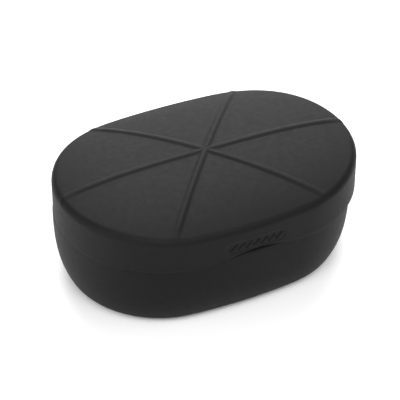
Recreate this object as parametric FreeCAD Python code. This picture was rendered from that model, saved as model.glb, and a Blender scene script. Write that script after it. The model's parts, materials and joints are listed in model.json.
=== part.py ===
"""Wireless earbuds case: a closed, pill-shaped charging case with a ribbed lid on a rear hinge.

Millimetres. +X runs along the case, -Y is the front (finger notch), +Y the rear (hinge and charging
port) and +Z is up. Sizes are given about the middle of the base's flat bottom; the finished case is
then moved along Y so that the origin lies below the middle of its overall box.
"""

import FreeCAD, Part
import math
import os

from FreeCAD import Vector

# Plan outline of the base at its rim: two end arcs joined by two flatter side arcs.
HALF_LENGTH = 32.4
HALF_WIDTH = 23.0
END_RADIUS = 22.45
END_CENTRE = HALF_LENGTH - END_RADIUS
SIDE_RADIUS = (END_CENTRE**2 + HALF_WIDTH**2 - END_RADIUS**2) / (2 * (HALF_WIDTH - END_RADIUS))
SIDE_CENTRE = SIDE_RADIUS - HALF_WIDTH

# Heights of the seam between the halves.
RIM_TOP = 16.35
SEAM_GAP = 0.3
LID_BOTTOM = RIM_TOP + SEAM_GAP

# Base shell.
BASE_WALL = 1.5
FLOOR = 1.5
BELLY_INSET = 3.3
BELLY_POWER = 3.3
BOTTOM_EDGE = 1.8
RIM_EDGE = 0.35
BASE_SECTIONS = 8

# Lid shell: a dome with its own curvature along and across the case. It stands forward of the base.
LID_FORWARD = 1.4
LID_OVERHANG = 0.33
LID_WALL = 1.4
DOME_TOP = 27.55
DOME_ALONG = 300.0
DOME_ACROSS = 82.0
DOME_REACH = 60.0
TOP_EDGE = 1.8
LID_LIP = 0.6

# Six raised ribs that meet in the middle of the lid.
RIB_WIDTH = 1.9
RIB_HEIGHT = 0.3
RIB_ANGLES = (0.0, 51.3, 128.7)
RIB_EDGE = 0.28
RIB_BURIED = 0.05
RIB_FOOT = 6.0

# Finger notch in the front of the lid's lower edge, and the grip patch above it.
NOTCH_WIDTH = 20.0
NOTCH_HEIGHT = 1.5
GRIP_HEIGHT_Z = 19.7
GRIP_LENGTH = 13.2
GRIP_WIDTH = 2.6
GRIP_DEPTH = 0.1
GROOVE_COUNT = 7
GROOVE_PITCH = 1.7
GROOVE_LENGTH = 2.0
GROOVE_WIDTH = 0.6
GROOVE_DEPTH = 0.4
GROOVE_SLANT = 42.0

# Lid liner, the inner cover of the lid.
LINER_GAP = 0.1
LINER_WALL = 1.0
LINER_OFFSET = LID_OVERHANG - LID_WALL - LINER_GAP
PAD_HALF_LENGTH = 8.0
PAD_HALF_WIDTH = 6.0
PAD_THICK = 1.6

# Cradle, the inner tray of the base, with two slanted bean-shaped pockets.
DECK_TOP = 15.8
DECK_THICK = 1.2
DECK_UNDER = DECK_TOP - DECK_THICK
DECK_OFFSET = -(BASE_WALL + 0.1)
SKIRT_OFFSET = -2.2
SKIRT_WALL = 0.8
SKIRT_DEPTH = 3.2
LOCATING_OFFSET = -3.9
LOCATING_WALL = 0.7
LOCATING_TOP = 17.3
POCKET_RADIUS = 8.0
POCKET_WALL = 1.0
POCKET_AXIS_Z = 16.4
POCKET_INNER = Vector(11.5, -3.5, POCKET_AXIS_Z)
POCKET_OUTER = Vector(18.5, 3.5, POCKET_AXIS_Z)

# Hinge at the rear: five knuckles on one pin, with a screwed leaf on each half.
HINGE_Y = 21.3
HINGE_Z = LID_BOTTOM
KNUCKLE_RADIUS = 1.1
KNUCKLE_COUNT = 5
BARREL_HALF = 14.0
KNUCKLE_GAP = 0.2
PIN_RADIUS = 0.5
PIN_PLAY = 0.04
PIN_HALF = 14.2
PIN_CHAMFER = 0.12
LEAF_BACK = 20.3
LEAF_THICK = 0.8
LEAF_FRONT = LEAF_BACK - LEAF_THICK
LEAF_HALF = 13.6
LEAF_CLEAR = 1.35
LEAF_HEIGHT = 4.6
LEAF_PLAY = 0.2
TAB_BACK = HINGE_Y - 0.4
TAB_RISE = LEAF_CLEAR + 0.3
HINGE_BLOCK_BACK = LEAF_FRONT - 0.1
HINGE_BLOCK_DEPTH = 2.2
WINDOW_HALF = 14.6
WINDOW_BELOW = 2.3
WINDOW_ABOVE = 2.3
WINDOW_CORNER = 0.8

# Small self-tapping screws.
SCREW_RADIUS = 0.6
SCREW_HEAD_RADIUS = 1.0
SCREW_HEAD_THICK = 0.4
SCREW_PLAY = 0.05
HINGE_SCREW_X = 10.9
HINGE_SCREW_LENGTH = 2.2
SCREW_BLOCK = Vector(3.6, HINGE_BLOCK_DEPTH, 3.2)
DRIVE_SLOT = Vector(1.2, 0.32, 0.24)
BOARD_SCREW_LENGTH = 2.4
BOARD_SCREW_PLAY = 0.15

# Main board, charging port and cell.
BOARD_BOTTOM = 2.6
BOARD_THICK = 0.8
BOARD_TOP = BOARD_BOTTOM + BOARD_THICK
BOARD_OFFSET = -5.0
BOARD_FRONT = 0.2
BOARD_SCREWS = ((-24.0, 6.0), (24.0, 6.0), (-10.0, 15.5), (10.0, 15.5))
BOSS_RADIUS = 1.7
BOSS_BURIED = 0.5
CHIPS = ((-8.5, 7.5, 4.0, 4.0, 0.9), (8.5, 8.0, 5.0, 5.0, 0.85), (0.5, 9.0, 3.0, 2.5, 1.2))
CELL_HALF_LENGTH = 15.5
CELL_FRONT = -17.0
CELL_BACK = -1.5
CELL_THICK = 3.6
CELL_EDGE = 0.8
FOAM_THICK = 0.5
FOAM_INSET = 1.0
LEAD_RADIUS = 0.35
LEAD_X = 5.0
LEAD_BEND = 1.2
LEAD_Z = BOARD_TOP + LEAD_BEND + 0.3
LEAD_REACH = 0.5

# Charging port, standard receptacle size.
PORT_Z = 5.05
PORT_WIDTH = 8.94
PORT_HEIGHT = 3.26
PORT_SKIN = 0.3
PORT_BACK = 13.6
PORT_END = 2.0
PORT_MOUTH = 21.2
PORT_CUT_FRONT = 18.0
TONGUE_WIDTH = 6.7
TONGUE_THICK = 0.7
TONGUE_SUNK = 0.6
BEZEL_WALL = 0.75
BEZEL_BACK = 23.0
BEZEL_SUNK = 0.1
BEZEL_FRONT = 20.3
PORT_PLAY = 0.08

# Spring-loaded charging pins, two under each pocket.
PIN_PAIR_X = 18.5
PIN_PAIR_Y = 3.5
PIN_PITCH = 2.6
CONTACT_RADIUS = 0.5
CONTACT_PLAY = 0.08
CONTACT_STAND = 0.9
CONTACT_BOTTOM = 4.9
PIN_BLOCK_LENGTH = 6.2
PIN_BLOCK_WIDTH = 2.4
PIN_BLOCK_TOP = 7.0
PIN_BLOCK_FLOOR = 0.3

# Magnets.
KEEPER_RADIUS = 2.4
KEEPER_THICK = 1.5
KEEPER_TOP = 7.25
KEEPER_WALL = 0.8
LATCH_X = 11.0
LATCH_SIZE = Vector(6.0, 2.0, 3.0)
LATCH_Y = -18.8
LATCH_WALL = 0.6
LATCH_PLAY = 0.05
LATCH_BASE_Z = 12.9
LATCH_LID_Z = 19.7
LATCH_REACH = 1.6
LATCH_SOCKET = 0.3
HALL_MAGNET = Vector(3.0, 1.4, 2.0)
HALL_FORWARD = 0.3
HALL_WALLS = Vector(1.2, 3.8, 1.2)

# Pairing button, its switch board and the status light under the front of the deck.
BUTTON_Y = -15.8
BUTTON_RADIUS = 2.0
BUTTON_PLAY = 0.1
BUTTON_STAND = 0.5
BUTTON_FLANGE = 0.6
BUTTON_STEM = 1.0
BUTTON_TRAVEL = 0.5
BUTTON_REST = 0.05
BUTTON_EDGE = 0.3
SWITCH_BOARD_TOP = 11.7
SWITCH_BOARD_THICK = 0.8
SWITCH_BOARD_SIZE = (14.4, 5.2)
SWITCH_SIZE = Vector(3.4, 3.4, 0.8)
POST_X = 6.1
POST_RADIUS = 1.0
POST_SCREW = 0.45
POST_HOLE_END = 0.6
POST_SCREW_END = 1.0
POST_SCREW_PLAY = 0.1
POST_HEAD_RADIUS = 0.9
LIGHT_X = 4.0
LIGHT_RADIUS = 0.8
LIGHT_SIZE = Vector(1.6, 0.9, 0.6)
LIGHT_PLAY = 0.03
LIGHT_GAP = 0.1
SENSOR_SIZE = Vector(2.0, 1.4, 0.8)

# Ribbon between the switch board and the main board.
RIBBON_WIDTH = 3.0
RIBBON_THICK = 0.3
RIBBON_START = -15.0
RIBBON_DROP = -0.4
RIBBON_END = 3.0

UP = Vector(0, 0, 1)
ALONG = Vector(1, 0, 0)
BACK = Vector(0, 1, 0)
FORWARD = Vector(0, -LID_FORWARD, 0)
TALL = 40.0

# Extra reach of cutting solids past the faces they cut, and a hair that keeps fitted faces apart.
PAST = 1.0
HAIR = 0.02
NEAR = 0.1
SIDES = (("left", -1), ("right", 1))


def outline(offset, z):
    """Closed plan outline at height z, moved outwards by offset."""
    lean = math.atan2(END_CENTRE, SIDE_CENTRE)
    end = END_RADIUS + offset
    side = HALF_WIDTH + offset
    tip = HALF_LENGTH + offset
    x = END_CENTRE + end * math.sin(lean)
    y = end * math.cos(lean)
    front = Part.Arc(Vector(-x, -y, z), Vector(0, -side, z), Vector(x, -y, z))
    right = Part.Arc(Vector(x, -y, z), Vector(tip, 0, z), Vector(x, y, z))
    rear = Part.Arc(Vector(x, y, z), Vector(0, side, z), Vector(-x, y, z))
    left = Part.Arc(Vector(-x, y, z), Vector(-tip, 0, z), Vector(-x, -y, z))
    return Part.Wire([arc.toShape() for arc in (front, right, rear, left)])


def prism(offset, low, high):
    """Upright block with the case's plan outline."""
    return Part.Face(outline(offset, low)).extrude(UP * (high - low))


def box(low, high):
    """Axis-aligned block between two corners."""
    size = high - low
    return Part.makeBox(size.x, size.y, size.z, low)


def block(centre, size):
    """Axis-aligned block about its centre."""
    return box(centre - size * 0.5, centre + size * 0.5)


def rod(radius, start, end):
    """Round bar between two points."""
    run = end - start
    return Part.makeCylinder(radius, run.Length, start, run)


def mirror_x(shape):
    """The same shape on the other end of the case."""
    return shape.mirror(Vector(0, 0, 0), ALONG)


def both_ends(shape):
    """A shape and its mirror image, as separate solids."""
    return Part.makeCompound([shape, mirror_x(shape)])


def slot(half_length, radius, start, end):
    """Flat-sided bar with round ends, long in X, from start to end along Y."""
    left = rod(radius, start - ALONG * half_length, end - ALONG * half_length)
    right = rod(radius, start + ALONG * half_length, end + ALONG * half_length)
    low = start - ALONG * half_length - UP * radius
    high = end + ALONG * half_length + UP * radius
    return left.fuse([right, box(low, high)]).removeSplitter()


def edges_between(shape, low, high):
    """Edges that lie wholly between two heights."""
    return [e for e in shape.Edges if e.BoundBox.ZMin > low and e.BoundBox.ZMax < high]


# ---------------------------------------------------------------- base shell


def belly_inset(z):
    """How far the base's wall has curved inwards at height z."""
    return BELLY_INSET * (1 - z / RIM_TOP) ** BELLY_POWER


def bowl(wall, floor):
    """Solid bowl of the base, its wall moved inwards and its floor raised."""
    sections = []
    for i in range(BASE_SECTIONS + 1):
        z = floor + (RIM_TOP - floor) * i / BASE_SECTIONS
        sections.append(outline(-belly_inset(z) - wall, z))
    return Part.makeLoft(sections, True, False)


def base_outer_shell():
    outer = bowl(0, 0)
    outer = outer.makeFillet(BOTTOM_EDGE, edges_between(outer, -NEAR, NEAR))
    rim = edges_between(outer, RIM_TOP - NEAR, RIM_TOP + NEAR)
    outer = outer.makeFillet(RIM_EDGE, rim)
    shell = outer.cut(bowl(BASE_WALL, FLOOR))
    shell = shell.cut(hinge_window(HINGE_Z - WINDOW_BELOW, HINGE_Z + 2 * PAST))
    leaf_low = HINGE_Z - LEAF_CLEAR - LEAF_HEIGHT - LEAF_PLAY
    shell = shell.cut(leaf_room(leaf_low, RIM_TOP + PAST))
    shell = shell.cut(port_bar(BEZEL_WALL + PORT_PLAY, PORT_CUT_FRONT, HALF_WIDTH + PAST))
    for x, y in BOARD_SCREWS:
        place = Vector(x, y, 0)
        boss = rod(BOSS_RADIUS, place + UP * (FLOOR - BOSS_BURIED), place + UP * BOARD_BOTTOM)
        hole_end = place + UP * (BOARD_TOP - BOARD_SCREW_LENGTH - BOARD_SCREW_PLAY)
        hole = rod(SCREW_RADIUS, hole_end, place + UP * BOARD_TOP)
        shell = shell.fuse(boss).cut(hole)
    return shell.removeSplitter()


def leaf_room(low, high):
    """Room for a hinge leaf against the inside of the rear wall."""
    half = LEAF_HALF + LEAF_PLAY
    return box(Vector(-half, LEAF_FRONT - PAST, low), Vector(half, LEAF_BACK + NEAR, high))


def hinge_window(low, high):
    """Opening in the rear wall that shows the hinge barrel."""
    low_corner = Vector(-WINDOW_HALF, LEAF_FRONT - PAST, low)
    window = box(low_corner, Vector(WINDOW_HALF, HALF_WIDTH + PAST, high))
    corners = [e for e in window.Edges if e.BoundBox.YLength > PAST and e.BoundBox.XLength < NEAR]
    return window.makeFillet(WINDOW_CORNER, corners)


# ---------------------------------------------------------------- lid


def dome(drop):
    """Everything under the lid's top surface, lowered by drop."""
    top = DOME_TOP - drop
    sag = DOME_ACROSS - math.sqrt(DOME_ACROSS**2 - DOME_REACH**2 / 4)
    reach = DOME_REACH / 2
    crown = Part.Arc(Vector(0, -reach, top - sag), Vector(0, 0, top), Vector(0, reach, top - sag))
    rear = Part.LineSegment(Vector(0, reach, top - sag), Vector(0, reach, 0))
    under = Part.LineSegment(Vector(0, reach, 0), Vector(0, -reach, 0))
    front = Part.LineSegment(Vector(0, -reach, 0), Vector(0, -reach, top - sag))
    section = Part.Face(Part.Wire([e.toShape() for e in (crown, rear, under, front)]))
    pivot = Vector(0, 0, top - DOME_ALONG)
    swing = math.degrees(DOME_REACH / DOME_ALONG)
    section.rotate(pivot, BACK, -swing)
    return section.revolve(pivot, BACK, 2 * swing)


def lid_block(offset, drop, edge):
    """Solid lid with a rounded top edge."""
    solid = prism(offset, LID_BOTTOM, TALL).common(dome(drop))
    return solid.makeFillet(edge, edges_between(solid, LID_BOTTOM + 4 * PAST, TALL))


def rib(angle):
    """One bar with rounded edges that follows the dome, and its rounded rim, from side to side."""
    turn = math.radians(angle)
    across = Vector(-math.sin(turn), math.cos(turn), 0)
    foot = DOME_TOP - RIB_FOOT
    slab = box(Vector(-TALL, -RIB_WIDTH / 2, foot), Vector(TALL, RIB_WIDTH / 2, TALL))
    slab.rotate(Vector(0, 0, 0), UP, angle)
    bar = slab.common(lid_block(LID_OVERHANG - RIB_BURIED, -RIB_HEIGHT, TOP_EDGE)).Solids[0]
    shoulders = []
    for edge in edges_between(bar, foot + NEAR, TALL):
        middle = edge.valueAt((edge.FirstParameter + edge.LastParameter) / 2)
        on_side = abs(abs(middle.dot(across)) - RIB_WIDTH / 2) < HAIR
        upright = edge.BoundBox.DiagonalLength - edge.BoundBox.ZLength < HAIR
        if on_side and not upright:
            shoulders.append(edge)
    return bar.makeFillet(RIB_EDGE, shoulders)


def notch():
    """Arched cut in the lid's lower edge, at the front."""
    half = NOTCH_WIDTH / 2
    low = LID_BOTTOM - PAST
    y = -HALF_WIDTH - 2 * PAST
    arch = Part.Arc(Vector(-half, y, LID_BOTTOM), Vector(0, y, LID_BOTTOM + NOTCH_HEIGHT),
                    Vector(half, y, LID_BOTTOM))
    right = Part.LineSegment(Vector(half, y, LID_BOTTOM), Vector(half, y, low))
    under = Part.LineSegment(Vector(half, y, low), Vector(-half, y, low))
    left = Part.LineSegment(Vector(-half, y, low), Vector(-half, y, LID_BOTTOM))
    wire = Part.Wire([e.toShape() for e in (arch, right, under, left)])
    return Part.Face(wire).extrude(BACK * (LID_WALL + 3 * PAST))


def grip_patch():
    """Shallow recess with slanted grooves, above the finger notch."""
    start = Vector(0, -HALF_WIDTH - 2 * PAST, GRIP_HEIGHT_Z)
    end = start + BACK * 4 * PAST
    radius = GRIP_WIDTH / 2
    recess = slot(GRIP_LENGTH / 2 - radius, radius, start, end)
    recess = recess.cut(prism(LID_OVERHANG - GRIP_DEPTH, 0, TALL))
    grooves = []
    for i in range(GROOVE_COUNT):
        x = (i - (GROOVE_COUNT - 1) / 2) * GROOVE_PITCH
        half = (GROOVE_LENGTH - GROOVE_WIDTH) / 2
        groove = slot(half, GROOVE_WIDTH / 2, start, end)
        groove.rotate(start, BACK, -GROOVE_SLANT)
        groove.translate(Vector(x, 0, 0))
        grooves.append(groove.cut(prism(LID_OVERHANG - GROOVE_DEPTH, 0, TALL)))
    return recess.fuse(grooves)


def lid_outer_shell():
    solid = lid_block(LID_OVERHANG, 0, TOP_EDGE).fuse([rib(angle) for angle in RIB_ANGLES])
    solid = solid.makeFillet(LID_LIP, edges_between(solid, LID_BOTTOM - NEAR, LID_BOTTOM + NEAR))
    solid = solid.cut(lid_block(LID_OVERHANG - LID_WALL, LID_WALL, TOP_EDGE / 2))
    solid = solid.cut([notch(), grip_patch()]).translated(FORWARD)
    solid = solid.cut(hinge_window(LID_BOTTOM - 2 * PAST, LID_BOTTOM + WINDOW_ABOVE))
    leaf_high = HINGE_Z + LEAF_CLEAR + LEAF_HEIGHT + LEAF_PLAY
    return solid.cut(leaf_room(LID_BOTTOM - PAST, leaf_high)).removeSplitter()


def hinge_recess(depth):
    """Room behind the hinge leaves, cut out of the parts in front of them."""
    half = WINDOW_HALF + depth
    return box(Vector(-half, HINGE_BLOCK_BACK - depth, 0), Vector(half, HALF_WIDTH + 2 * PAST, TALL))


def screw_hole(side, z):
    """Pilot hole of one hinge screw."""
    start = Vector(side * HINGE_SCREW_X, LEAF_FRONT - HINGE_SCREW_LENGTH, z)
    return rod(SCREW_RADIUS, start, Vector(start.x, LEAF_BACK, z))


def lid_liner():
    outer = lid_block(LINER_OFFSET, LID_WALL + LINER_GAP, TOP_EDGE / 2).translated(FORWARD)
    outer = outer.cut(hinge_recess(0))
    drop = LID_WALL + LINER_GAP + LINER_WALL
    inner = lid_block(LINER_OFFSET - LINER_WALL, drop, TOP_EDGE / 3).translated(FORWARD)
    liner = outer.cut(inner.cut(hinge_recess(LINER_WALL)))
    walls = Vector(LATCH_WALL, LATCH_WALL + LATCH_REACH, LATCH_WALL) * 2
    z = lid_screw_height()
    housings = []
    for _, side in SIDES:
        centre = Vector(side * LATCH_X, LATCH_Y - LATCH_REACH, LATCH_LID_Z)
        housings.append(block(centre, LATCH_SIZE + walls).common(outer))
        middle = Vector(side * HINGE_SCREW_X, HINGE_BLOCK_BACK - HINGE_BLOCK_DEPTH / 2, z)
        housings.append(block(middle, SCREW_BLOCK))
    centre = Vector(0, LATCH_Y - HALL_FORWARD - LATCH_REACH, LATCH_LID_Z)
    housings.append(block(centre, HALL_MAGNET + HALL_WALLS).common(outer))
    cuts = [screw_hole(side, z) for _, side in SIDES] + [notch().translated(FORWARD)]
    liner = liner.fuse(housings).cut(cuts)
    liner = liner.cut([magnet_room(shape) for shape in latch_magnets(LATCH_LID_Z).Solids])
    return liner.cut(magnet_room(hall_magnet())).removeSplitter()


def magnet_room(magnet):
    """A magnet's recess, open towards the front."""
    span = magnet.BoundBox
    low = Vector(span.XMin - LATCH_PLAY, -HALF_WIDTH - LID_FORWARD, span.ZMin - LATCH_PLAY)
    return box(low, Vector(span.XMax + LATCH_PLAY, span.YMax + LATCH_PLAY, span.ZMax + LATCH_PLAY))


def latch_magnets(z):
    """The pair of closing magnets at one height."""
    return both_ends(block(Vector(LATCH_X, LATCH_Y, z), LATCH_SIZE))


def hall_magnet():
    return block(Vector(0, LATCH_Y - HALL_FORWARD, LATCH_LID_Z), HALL_MAGNET)


def lid_pad(side):
    """Soft pad under the liner's ceiling, which follows the dome."""
    x = side * (POCKET_INNER.x + POCKET_OUTER.x) / 2
    centre = Vector(x, 0, 0)
    ring = Part.Ellipse(centre, PAD_HALF_LENGTH, PAD_HALF_WIDTH).toShape()
    column = Part.Face(Part.Wire([ring])).extrude(UP * TALL)
    drop = LID_WALL + LINER_GAP + LINER_WALL
    return column.common(dome(drop)).cut(dome(drop + PAD_THICK)).translated(FORWARD)


# ---------------------------------------------------------------- hinge


def knuckle(index):
    """One length of the hinge barrel; even ones belong to the base."""
    pitch = (2 * BARREL_HALF + KNUCKLE_GAP) / KNUCKLE_COUNT
    start = -BARREL_HALF + index * pitch
    end = start + pitch - KNUCKLE_GAP
    axis = Vector(0, HINGE_Y, HINGE_Z)
    barrel = rod(KNUCKLE_RADIUS, axis + ALONG * start, axis + ALONG * end)
    low, high = (-TAB_RISE, 0.0) if index % 2 == 0 else (0.0, TAB_RISE)
    tab = box(Vector(start, LEAF_FRONT, HINGE_Z + low), Vector(end, TAB_BACK, HINGE_Z + high))
    return barrel.fuse(tab)


def hinge_leaf(first, low, high, screw_z):
    """Screwed plate with its share of the knuckles."""
    leaf = box(Vector(-LEAF_HALF, LEAF_FRONT, low), Vector(LEAF_HALF, LEAF_BACK, high))
    leaf = leaf.fuse([knuckle(i) for i in range(first, KNUCKLE_COUNT, 2)])
    axis = Vector(0, HINGE_Y, HINGE_Z)
    bore = rod(PIN_RADIUS + PIN_PLAY, axis - ALONG * TALL, axis + ALONG * TALL)
    leaf = leaf.cut(bore)
    for _, side in SIDES:
        neck = Vector(side * HINGE_SCREW_X, LEAF_BACK - SCREW_HEAD_THICK, screw_z)
        hole = rod(SCREW_RADIUS + SCREW_PLAY, neck - BACK * PAST, neck)
        seat = rod(SCREW_HEAD_RADIUS + SCREW_PLAY, neck, neck + BACK * PAST)
        leaf = leaf.cut([hole, seat])
    return leaf.removeSplitter()


def base_screw_height():
    return HINGE_Z - LEAF_CLEAR - LEAF_HEIGHT / 2


def lid_screw_height():
    return HINGE_Z + LEAF_CLEAR + LEAF_HEIGHT / 2


def hinge_leaf_base():
    top = HINGE_Z - LEAF_CLEAR
    return hinge_leaf(0, top - LEAF_HEIGHT, top, base_screw_height())


def hinge_leaf_lid():
    bottom = HINGE_Z + LEAF_CLEAR
    return hinge_leaf(1, bottom, bottom + LEAF_HEIGHT, lid_screw_height())


def hinge_pin():
    axis = Vector(0, HINGE_Y, HINGE_Z)
    pin = rod(PIN_RADIUS, axis - ALONG * PIN_HALF, axis + ALONG * PIN_HALF)
    rims = [edge for edge in pin.Edges if edge.BoundBox.XLength < NEAR]
    return pin.makeChamfer(PIN_CHAMFER, rims)


def hinge_screws(z):
    """Flush-headed screws that hold one leaf."""
    tip = Vector(HINGE_SCREW_X, LEAF_FRONT - HINGE_SCREW_LENGTH + NEAR, z)
    neck = Vector(HINGE_SCREW_X, LEAF_BACK - SCREW_HEAD_THICK, z)
    head = rod(SCREW_HEAD_RADIUS, neck, neck + BACK * (SCREW_HEAD_THICK - HAIR))
    recess = block(neck + BACK * SCREW_HEAD_THICK, DRIVE_SLOT)
    screw = rod(SCREW_RADIUS - HAIR, tip, neck).fuse(head).cut(recess)
    return both_ends(screw.removeSplitter())


# ---------------------------------------------------------------- cradle


def capsule(radius):
    """Bean-shaped solid about the right pocket's axis."""
    body = rod(radius, POCKET_INNER, POCKET_OUTER)
    return body.fuse([Part.makeSphere(radius, POCKET_INNER), Part.makeSphere(radius, POCKET_OUTER)])


def contact_places():
    """Plan positions of the right pocket's charging pins."""
    return [Vector(PIN_PAIR_X + step * PIN_PITCH / 2, PIN_PAIR_Y, 0) for step in (-1, 1)]


def deck_body():
    """Flat deck with a hanging skirt and a raised locating lip."""
    deck = prism(DECK_OFFSET, DECK_UNDER, DECK_TOP)
    skirt = prism(SKIRT_OFFSET, DECK_UNDER - SKIRT_DEPTH, DECK_UNDER)
    skirt = skirt.cut(prism(SKIRT_OFFSET - SKIRT_WALL, 0, TALL))
    lip = prism(LOCATING_OFFSET, DECK_TOP, LOCATING_TOP)
    lip = lip.cut(prism(LOCATING_OFFSET - LOCATING_WALL, 0, TALL))
    lip = lip.cut(hinge_recess(3 * LINER_WALL))
    low = Vector(-LEAF_HALF, HINGE_BLOCK_BACK - HINGE_BLOCK_DEPTH, base_screw_height() - LEAF_HEIGHT / 2)
    hinge_block = box(low, Vector(LEAF_HALF, HINGE_BLOCK_BACK, DECK_UNDER))
    return deck.fuse([skirt, lip, hinge_block]).cut(hinge_recess(0))


def pocket_parts():
    """Material and holes of the right pocket, its magnet socket and its contact bores."""
    below = box(Vector(-TALL, -TALL, 0), Vector(TALL, TALL, DECK_TOP))
    cup = capsule(POCKET_RADIUS + POCKET_WALL).common(below)
    keeper = Vector(POCKET_INNER.x, POCKET_INNER.y, 0)
    radius = KEEPER_RADIUS + LATCH_PLAY
    low = keeper + UP * (KEEPER_TOP - KEEPER_THICK)
    socket = rod(radius + KEEPER_WALL, low, keeper + UP * (KEEPER_TOP + PAST))
    room = rod(radius, keeper, keeper + UP * (KEEPER_TOP + HAIR))
    holes = [capsule(POCKET_RADIUS), room]
    for place in contact_places():
        holes.append(rod(CONTACT_RADIUS + CONTACT_PLAY, place, place + UP * DECK_TOP))
    return [cup, socket], holes


def latch_socket():
    """Material and hole of the right closing magnet's socket under the deck."""
    top = Vector(LATCH_X, LATCH_Y, DECK_UNDER)
    span = (LATCH_SIZE + Vector(2 * LATCH_WALL, 2 * LATCH_WALL, 0)) * 0.5
    low = Vector(top.x - span.x, top.y - span.y, DECK_UNDER - LATCH_SIZE.z - LATCH_SOCKET)
    walls = box(low, Vector(top.x + span.x, top.y + span.y, DECK_UNDER))
    room = LATCH_SIZE * 0.5 + Vector(LATCH_PLAY, LATCH_PLAY, 0)
    low = Vector(top.x - room.x, top.y - room.y, DECK_UNDER - 2 * LATCH_SIZE.z)
    hole = box(low, Vector(top.x + room.x, top.y + room.y, DECK_UNDER - NEAR))
    return walls.common(prism(SKIRT_OFFSET, 0, TALL)), hole


def cradle():
    parts, holes = pocket_parts()
    walls, magnet_hole = latch_socket()
    post = Vector(POST_X, BUTTON_Y, SWITCH_BOARD_TOP)
    top = Vector(POST_X, BUTTON_Y, DECK_UNDER)
    parts += [walls, rod(POST_RADIUS, post, top)]
    pilot = rod(POST_SCREW, post, top - UP * POST_HOLE_END)
    holes += [magnet_hole, pilot, screw_hole(1, base_screw_height())]
    button = Vector(0, BUTTON_Y, 0)
    light = Vector(LIGHT_X, BUTTON_Y, 0)
    centre_holes = [rod(BUTTON_RADIUS + BUTTON_PLAY, button, button + UP * TALL),
                    rod(LIGHT_RADIUS + LIGHT_PLAY, light, light + UP * TALL)]
    body = deck_body().fuse(parts + [mirror_x(part) for part in parts])
    return body.cut(holes + [mirror_x(hole) for hole in holes] + centre_holes).removeSplitter()


def keeper_magnet(side):
    """Disc magnet that pulls an earbud into its pocket."""
    low = Vector(side * POCKET_INNER.x, POCKET_INNER.y, KEEPER_TOP - KEEPER_THICK)
    return rod(KEEPER_RADIUS, low, low + UP * KEEPER_THICK)


# ---------------------------------------------------------------- electronics


def main_board():
    board = prism(BOARD_OFFSET, BOARD_BOTTOM, BOARD_TOP)
    board = board.cut(box(Vector(-TALL, -TALL, 0), Vector(TALL, BOARD_FRONT, TALL)))
    radius = SCREW_RADIUS + BOARD_SCREW_PLAY
    holes = [rod(radius, Vector(x, y, 0), Vector(x, y, TALL)) for x, y in BOARD_SCREWS]
    return board.cut(holes)


def board_chips():
    """Charge controller, processor and coil on the main board."""
    chips = []
    for x, y, length, width, height in CHIPS:
        chips.append(block(Vector(x, y, BOARD_TOP + height / 2), Vector(length, width, height)))
    return Part.makeCompound(chips)


def screw_down(seat):
    """Pan-headed screw whose head sits on a point and whose shank points down."""
    head = rod(SCREW_HEAD_RADIUS, seat, seat + UP * SCREW_HEAD_THICK)
    recess = block(seat + UP * SCREW_HEAD_THICK, Vector(DRIVE_SLOT.x, DRIVE_SLOT.z, DRIVE_SLOT.y))
    shank = rod(SCREW_RADIUS - HAIR, seat - UP * BOARD_SCREW_LENGTH, seat)
    return shank.fuse(head).cut(recess).removeSplitter()


def board_screws():
    screws = []
    for x, y in BOARD_SCREWS:
        screws.append(screw_down(Vector(x, y, BOARD_TOP)))
    return Part.makeCompound(screws)


def battery_cell():
    low = Vector(-CELL_HALF_LENGTH, CELL_FRONT, FLOOR + FOAM_THICK)
    cell = box(low, Vector(CELL_HALF_LENGTH, CELL_BACK, FLOOR + FOAM_THICK + CELL_THICK))
    sides = [e for e in cell.Edges if e.BoundBox.XLength > PAST]
    return cell.makeFillet(CELL_EDGE, sides)


def battery_foam_pad():
    half = CELL_HALF_LENGTH - FOAM_INSET
    low = Vector(-half, CELL_FRONT + FOAM_INSET, FLOOR)
    return box(low, Vector(half, CELL_BACK - FOAM_INSET, FLOOR + FOAM_THICK))


def battery_leads():
    """Two short wires from the cell's edge down to the main board."""
    leads = []
    half_way = math.sqrt(0.5)
    for _, side in SIDES:
        x = side * LEAD_X
        start = Vector(x, CELL_BACK, LEAD_Z)
        bend = Vector(x, BOARD_FRONT + LEAD_REACH, LEAD_Z)
        middle = bend + Vector(0, half_way, half_way - 1) * LEAD_BEND
        drop = bend + Vector(0, LEAD_BEND, -LEAD_BEND)
        end = Vector(x, drop.y, BOARD_TOP)
        path = [Part.LineSegment(start, bend), Part.Arc(bend, middle, drop), Part.LineSegment(drop, end)]
        wire = Part.Wire([piece.toShape() for piece in path])
        ring = Part.Wire([Part.makeCircle(LEAD_RADIUS, start, BACK)])
        leads.append(wire.makePipeShell([ring], True, False))
    return Part.makeCompound(leads)


def port_bar(grow, back, mouth):
    """Solid with the charging receptacle's outline, grown outwards."""
    radius = PORT_HEIGHT / 2 + grow
    return slot((PORT_WIDTH - PORT_HEIGHT) / 2, radius, Vector(0, back, PORT_Z), Vector(0, mouth, PORT_Z))


def port_shell():
    """Folded metal sleeve of the charging receptacle, with a closed back."""
    room = port_bar(-PORT_SKIN, PORT_BACK + PORT_END, PORT_MOUTH + PAST)
    return port_bar(0, PORT_BACK, PORT_MOUTH).cut(room)


def port_tongue():
    low = Vector(-TONGUE_WIDTH / 2, PORT_BACK + PORT_END, PORT_Z - TONGUE_THICK / 2)
    return box(low, Vector(TONGUE_WIDTH / 2, PORT_MOUTH - TONGUE_SUNK, PORT_Z + TONGUE_THICK / 2))


def port_bezel():
    """Trim ring around the receptacle's mouth, which follows the curve of the wall."""
    ring = port_bar(BEZEL_WALL, BEZEL_FRONT, BEZEL_BACK)
    ring = ring.cut(port_bar(PORT_PLAY, BEZEL_FRONT - PAST, BEZEL_BACK + PAST))
    return ring.common(bowl(BEZEL_SUNK, 0))


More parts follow.
